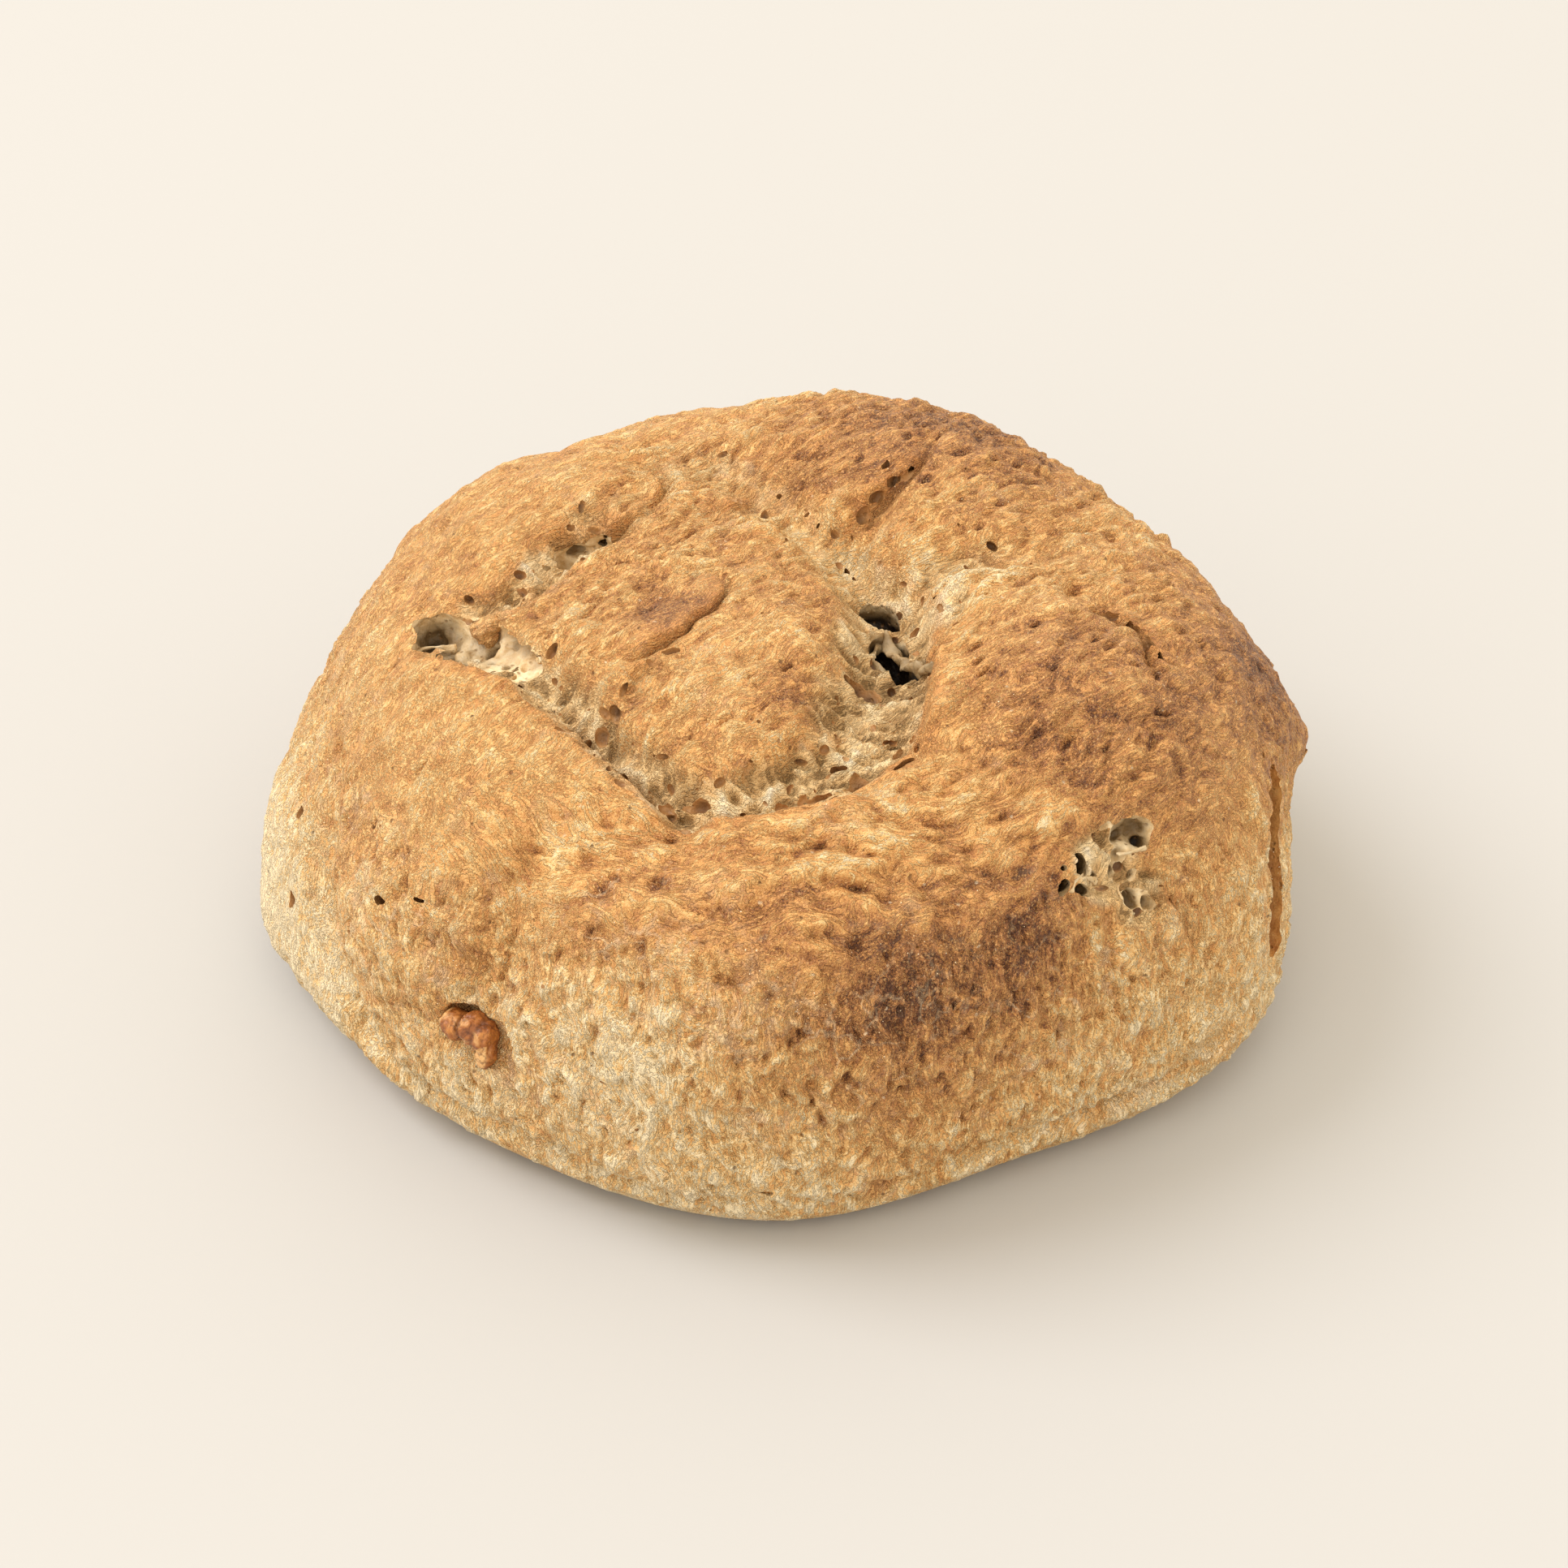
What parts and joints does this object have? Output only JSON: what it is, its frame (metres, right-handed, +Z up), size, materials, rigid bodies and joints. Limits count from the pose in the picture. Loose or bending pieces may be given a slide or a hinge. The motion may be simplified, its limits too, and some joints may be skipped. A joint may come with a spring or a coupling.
{
  "type": "walnut sourdough loaf",
  "caption": "Round hearth-baked sourdough loaf with a folded, torn crown, browned crust and a piece of walnut showing in its side.",
  "frame": {"origin": "middle of the flat base, on the table", "axes": "+Z up; -Y is the front, with the walnut at the front left; +X to the right when seen from the front"},
  "size_m": [0.2014, 0.1902, 0.0868],
  "materials": {
    "crust": "baked crust, golden to mid brown on the high places, pale cream where it tore and on the low side, dry and lightly floured",
    "walnut": "brown walnut skin with paler broken faces, slightly oily"
  },
  "bodies": {
    "root": {"loaf": "crust", "walnut": "walnut"}
  },
  "joints": []
}
